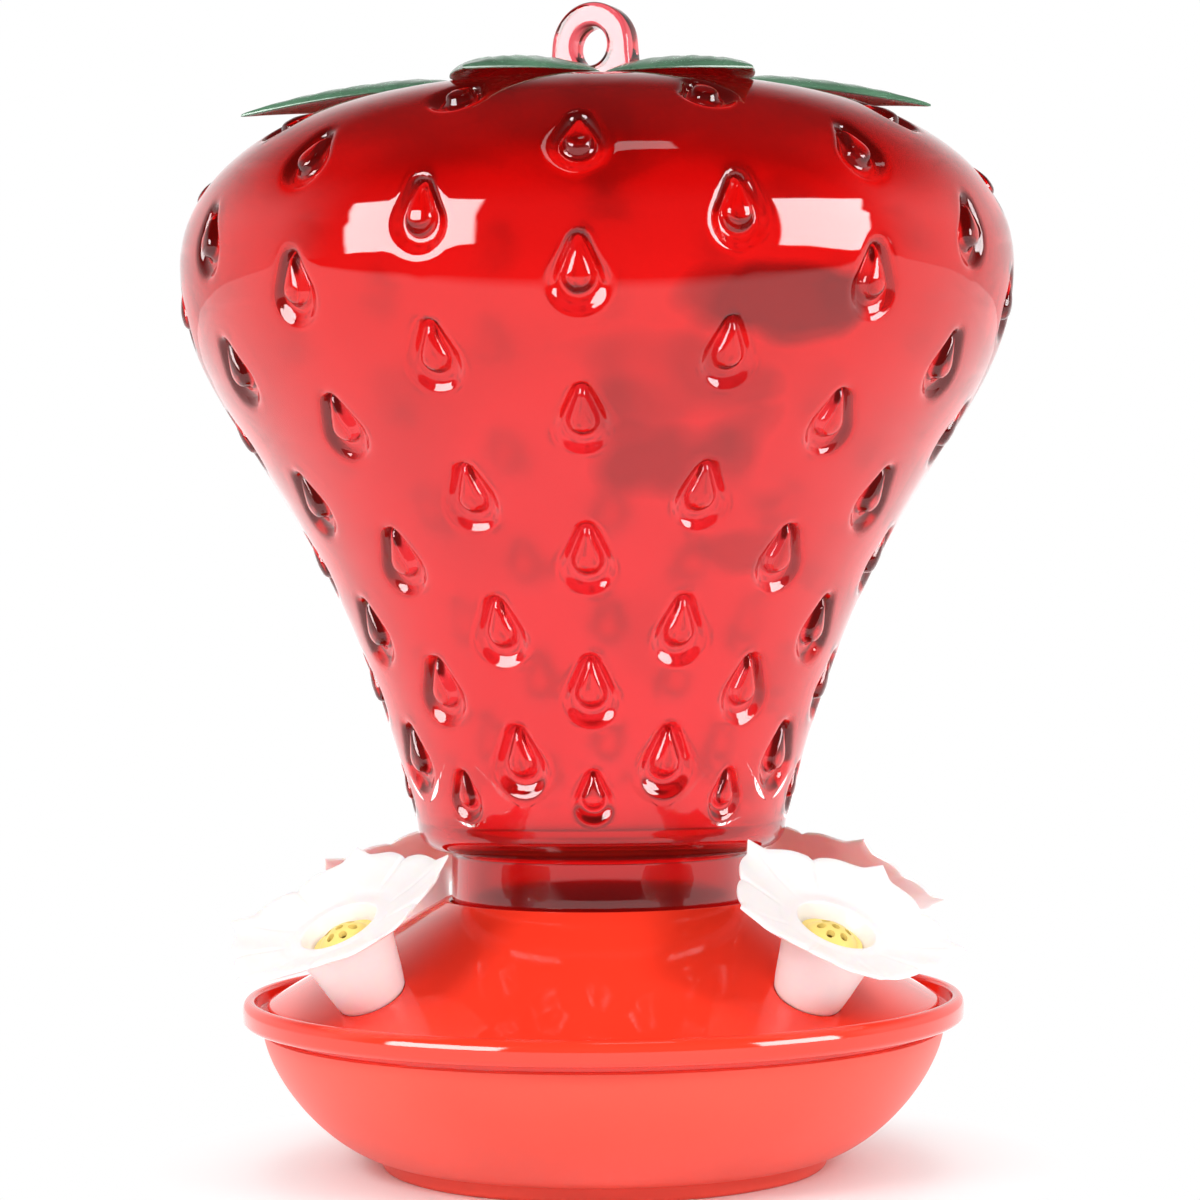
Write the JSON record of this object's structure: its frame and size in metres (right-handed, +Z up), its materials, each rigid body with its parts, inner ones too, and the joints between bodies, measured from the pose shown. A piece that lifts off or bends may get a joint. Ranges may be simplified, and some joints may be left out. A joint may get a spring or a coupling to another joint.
{
  "type": "hummingbird feeder",
  "caption": "Hanging nectar feeder: clear red strawberry-shaped bottle with leaves and eye, screwed neck down into a covered round dish with white flower ports.",
  "frame": {"origin": "centre of the foot ring, on the surface the feeder stands on", "axes": "+Z up along the bottle axis, -Y towards the front of the picture, +X to its right"},
  "size_m": [0.153, 0.1536, 0.2143],
  "materials": {
    "bowl_plastic": "satin coral",
    "cover_plastic": "gloss red-orange",
    "bottle_plastic": "clear red, gloss",
    "leaf_plastic": "gloss green",
    "eye_plastic": "clear pale pink, gloss",
    "petal_plastic": "satin white",
    "guard_plastic": "satin yellow",
    "gasket_rubber": "milky"
  },
  "bodies": {
    "bowl": {"nectar_bowl": "bowl_plastic"},
    "cover": {"base_cover": "cover_plastic"},
    "gasket": {"neck_gasket": "gasket_rubber"},
    "bottle": {"bottle": "bottle_plastic", "leaf_cap": "leaf_plastic", "hanger_eye": "eye_plastic"},
    "flower_1": {"flower_1": "petal_plastic", "bee_guard_1": "guard_plastic"},
    "flower_2": {"flower_2": "petal_plastic", "bee_guard_2": "guard_plastic"},
    "flower_3": {"flower_3": "petal_plastic", "bee_guard_3": "guard_plastic"},
    "flower_4": {"flower_4": "petal_plastic", "bee_guard_4": "guard_plastic"}
  },
  "joints": [
    {"name": "cover_lift", "type": "slide", "parent": "bowl", "child": "cover", "axis": [0, 0, 1], "range_m": [0, 0.03]},
    {"name": "bottle_lift", "type": "slide", "parent": "cover", "child": "gasket", "axis": [0, 0, 1], "range_m": [0, 0.012]},
    {"name": "bottle_turn", "type": "hinge", "parent": "gasket", "child": "bottle", "pos_m": [0, 0, 0.043], "axis": [0, 0, 1], "range_deg": [0, 720]},
    {"name": "flower_1_pull", "type": "slide", "parent": "cover", "child": "flower_1", "axis": [-0.3702, -0.3241, 0.8706], "range_m": [0, 0.015]},
    {"name": "flower_2_pull", "type": "slide", "parent": "cover", "child": "flower_2", "axis": [0.3241, -0.3702, 0.8706], "range_m": [0, 0.015]},
    {"name": "flower_3_pull", "type": "slide", "parent": "cover", "child": "flower_3", "axis": [0.3702, 0.3241, 0.8706], "range_m": [0, 0.015]},
    {"name": "flower_4_pull", "type": "slide", "parent": "cover", "child": "flower_4", "axis": [-0.3241, 0.3702, 0.8706], "range_m": [0, 0.015]}
  ],
  "couplings": [
    {"joint": "bottle_lift", "follows": "bottle_turn", "m_per_rad": 0.00095492}
  ]
}
